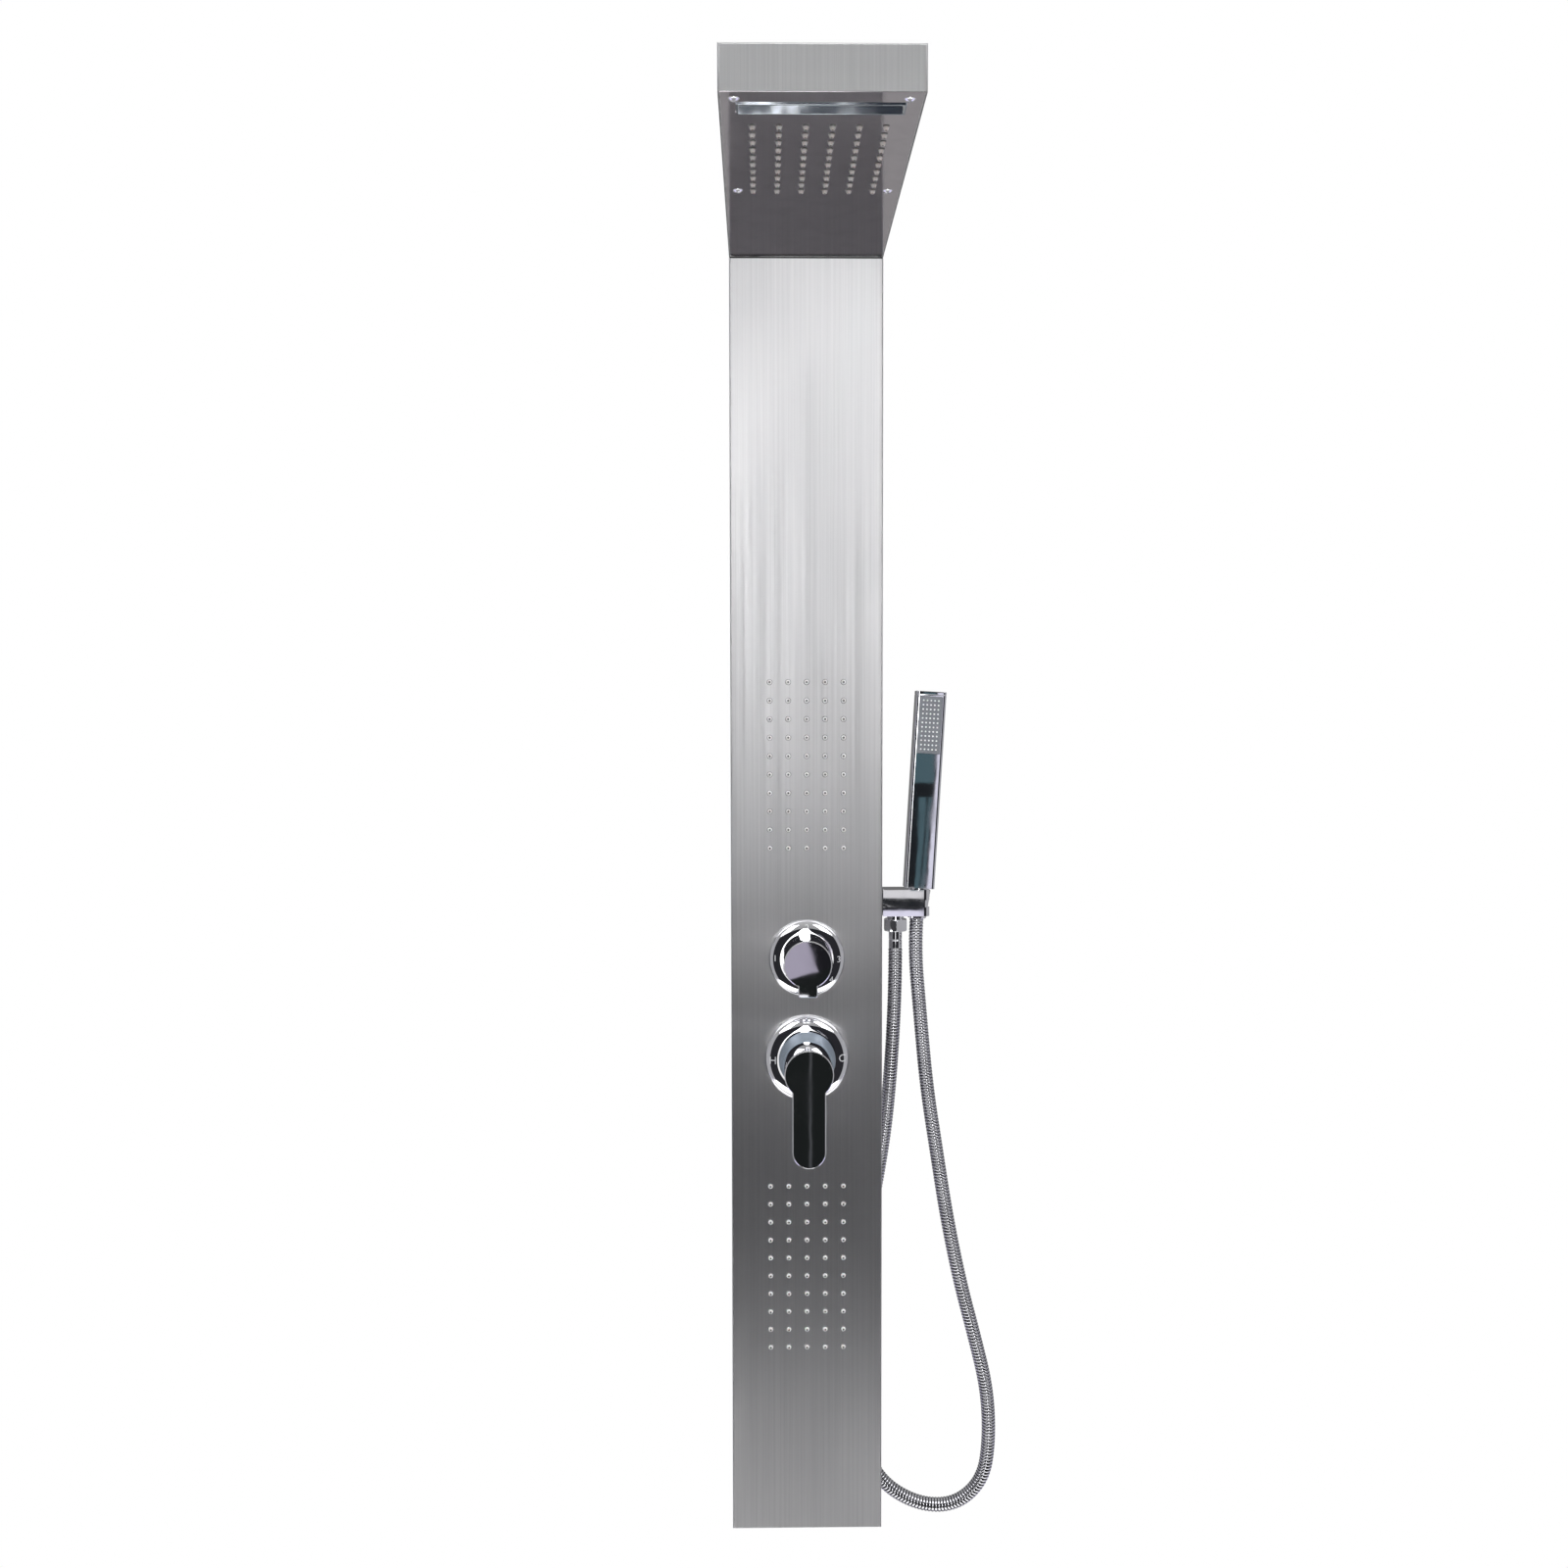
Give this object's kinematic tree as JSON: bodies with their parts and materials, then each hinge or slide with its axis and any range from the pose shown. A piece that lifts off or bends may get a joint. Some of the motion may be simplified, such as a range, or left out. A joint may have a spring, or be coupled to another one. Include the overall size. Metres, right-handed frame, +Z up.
{
  "type": "shower panel column",
  "caption": "Wall-hung stainless shower panel: rain head with waterfall outlet, body jets, lever mixer, diverter knob and a hand shower on a metal hose.",
  "frame": {"origin": "middle of the upper wall bracket's two screw holes, on the wall plane", "axes": "+X to the right as one faces the panel, +Y into the wall, +Z up; the panel stands out toward -Y"},
  "size_m": [0.2694, 0.45, 1.3031],
  "materials": {
    "sheet": "vertically brushed stainless sheet",
    "plate": "polished stainless plate that mirrors the column",
    "inner_steel": "plain mill finish",
    "chrome": "mirror chrome",
    "hose_steel": "wound stainless strip, bright",
    "satin": "satin, slightly blue",
    "silicone": "soft silicone",
    "chamber": "moulded",
    "brass": "cast brass, as cast",
    "cartridge": "moulded",
    "seal": "black sealing rubber",
    "pipe": "smooth water pipe",
    "grey_face": "smooth grey",
    "index": "smooth dark plug"
  },
  "bodies": {
    "column": {"casing_hangers": "inner_steel", "chamber_nuts": "inner_steel", "column_casing": "sheet", "corner_gussets": "inner_steel", "diverter_body": "brass", "diverter_cartridge": "cartridge", "diverter_clamp_nut": "inner_steel", "diverter_escutcheon": "chrome", "hand_shower_pipe": "pipe", "handset_holder": "chrome", "head_casing": "sheet", "head_plate": "plate", "head_screws": "chrome", "holder_backnut": "brass", "holder_gasket": "seal", "hose": "hose_steel", "hose_hex_nut": "chrome", "hose_lower_ferrule": "chrome", "lower_jet_chamber": "chamber", "lower_jet_nozzles": "silicone", "lower_jet_pipe": "pipe", "lower_wall_bracket": "inner_steel", "mixed_water_pipe": "pipe", "mixer_body": "brass", "mixer_cartridge": "cartridge", "mixer_cartridge_nut": "brass", "mixer_clamp_nut": "inner_steel", "mixer_escutcheon": "chrome", "mixer_sleeve": "satin", "outlet_washer": "seal", "pipe_ferrules": "inner_steel", "rain_chamber": "chamber", "rain_nozzles": "silicone", "rain_pipe": "pipe", "upper_jet_chamber": "chamber", "upper_jet_nozzles": "silicone", "upper_jet_pipe": "pipe", "upper_wall_bracket": "inner_steel", "waterfall_box": "chamber", "waterfall_pipe": "pipe", "waterfall_spout": "chrome"},
    "mixer_carrier": {"mixer_carrier": "cartridge", "mixer_pivot_pin": "inner_steel"},
    "mixer_lever": {"mixer_stem": "inner_steel", "mixer_lever": "chrome", "mixer_grub_screw": "inner_steel", "mixer_index_plug": "index"},
    "diverter_knob": {"diverter_knob": "chrome", "diverter_spindle": "inner_steel", "diverter_grub_screw": "inner_steel"},
    "hose_end": {"hose_upper_ferrule": "chrome"},
    "hand_shower": {"hose_cone_nut": "chrome", "handset_washer": "seal", "handset_connector": "brass", "handset_body": "chrome", "handset_cap": "chrome", "handset_face": "grey_face", "handset_nozzles": "silicone", "handset_chamber": "chamber", "handset_waterway": "chamber"}
  },
  "joints": [
    {"name": "mixer_swivel", "type": "hinge", "parent": "column", "child": "mixer_carrier", "pos_m": [0, -0.062, -0.6995], "axis": [0, -1, 0], "range_deg": [-45, 45]},
    {"name": "mixer_lift", "type": "hinge", "parent": "mixer_carrier", "child": "mixer_lever", "pos_m": [0, -0.062, -0.6995], "axis": [-1, 0, 0], "range_deg": [0, 25]},
    {"name": "diverter_turn", "type": "hinge", "parent": "column", "child": "diverter_knob", "pos_m": [0, -0.07, -0.6], "axis": [0, -1, 0], "continuous": true},
    {"name": "handset_lift", "type": "slide", "parent": "column", "child": "hose_end", "axis": [0.0593, 0, 0.9982], "range_m": [0, 0.09], "deforming": ["hose"]},
    {"name": "handset_turn", "type": "hinge", "parent": "hose_end", "child": "hand_shower", "pos_m": [0.1124, -0.034, -0.5325], "axis": [0.0593, 0, 0.9982], "continuous": true}
  ]
}
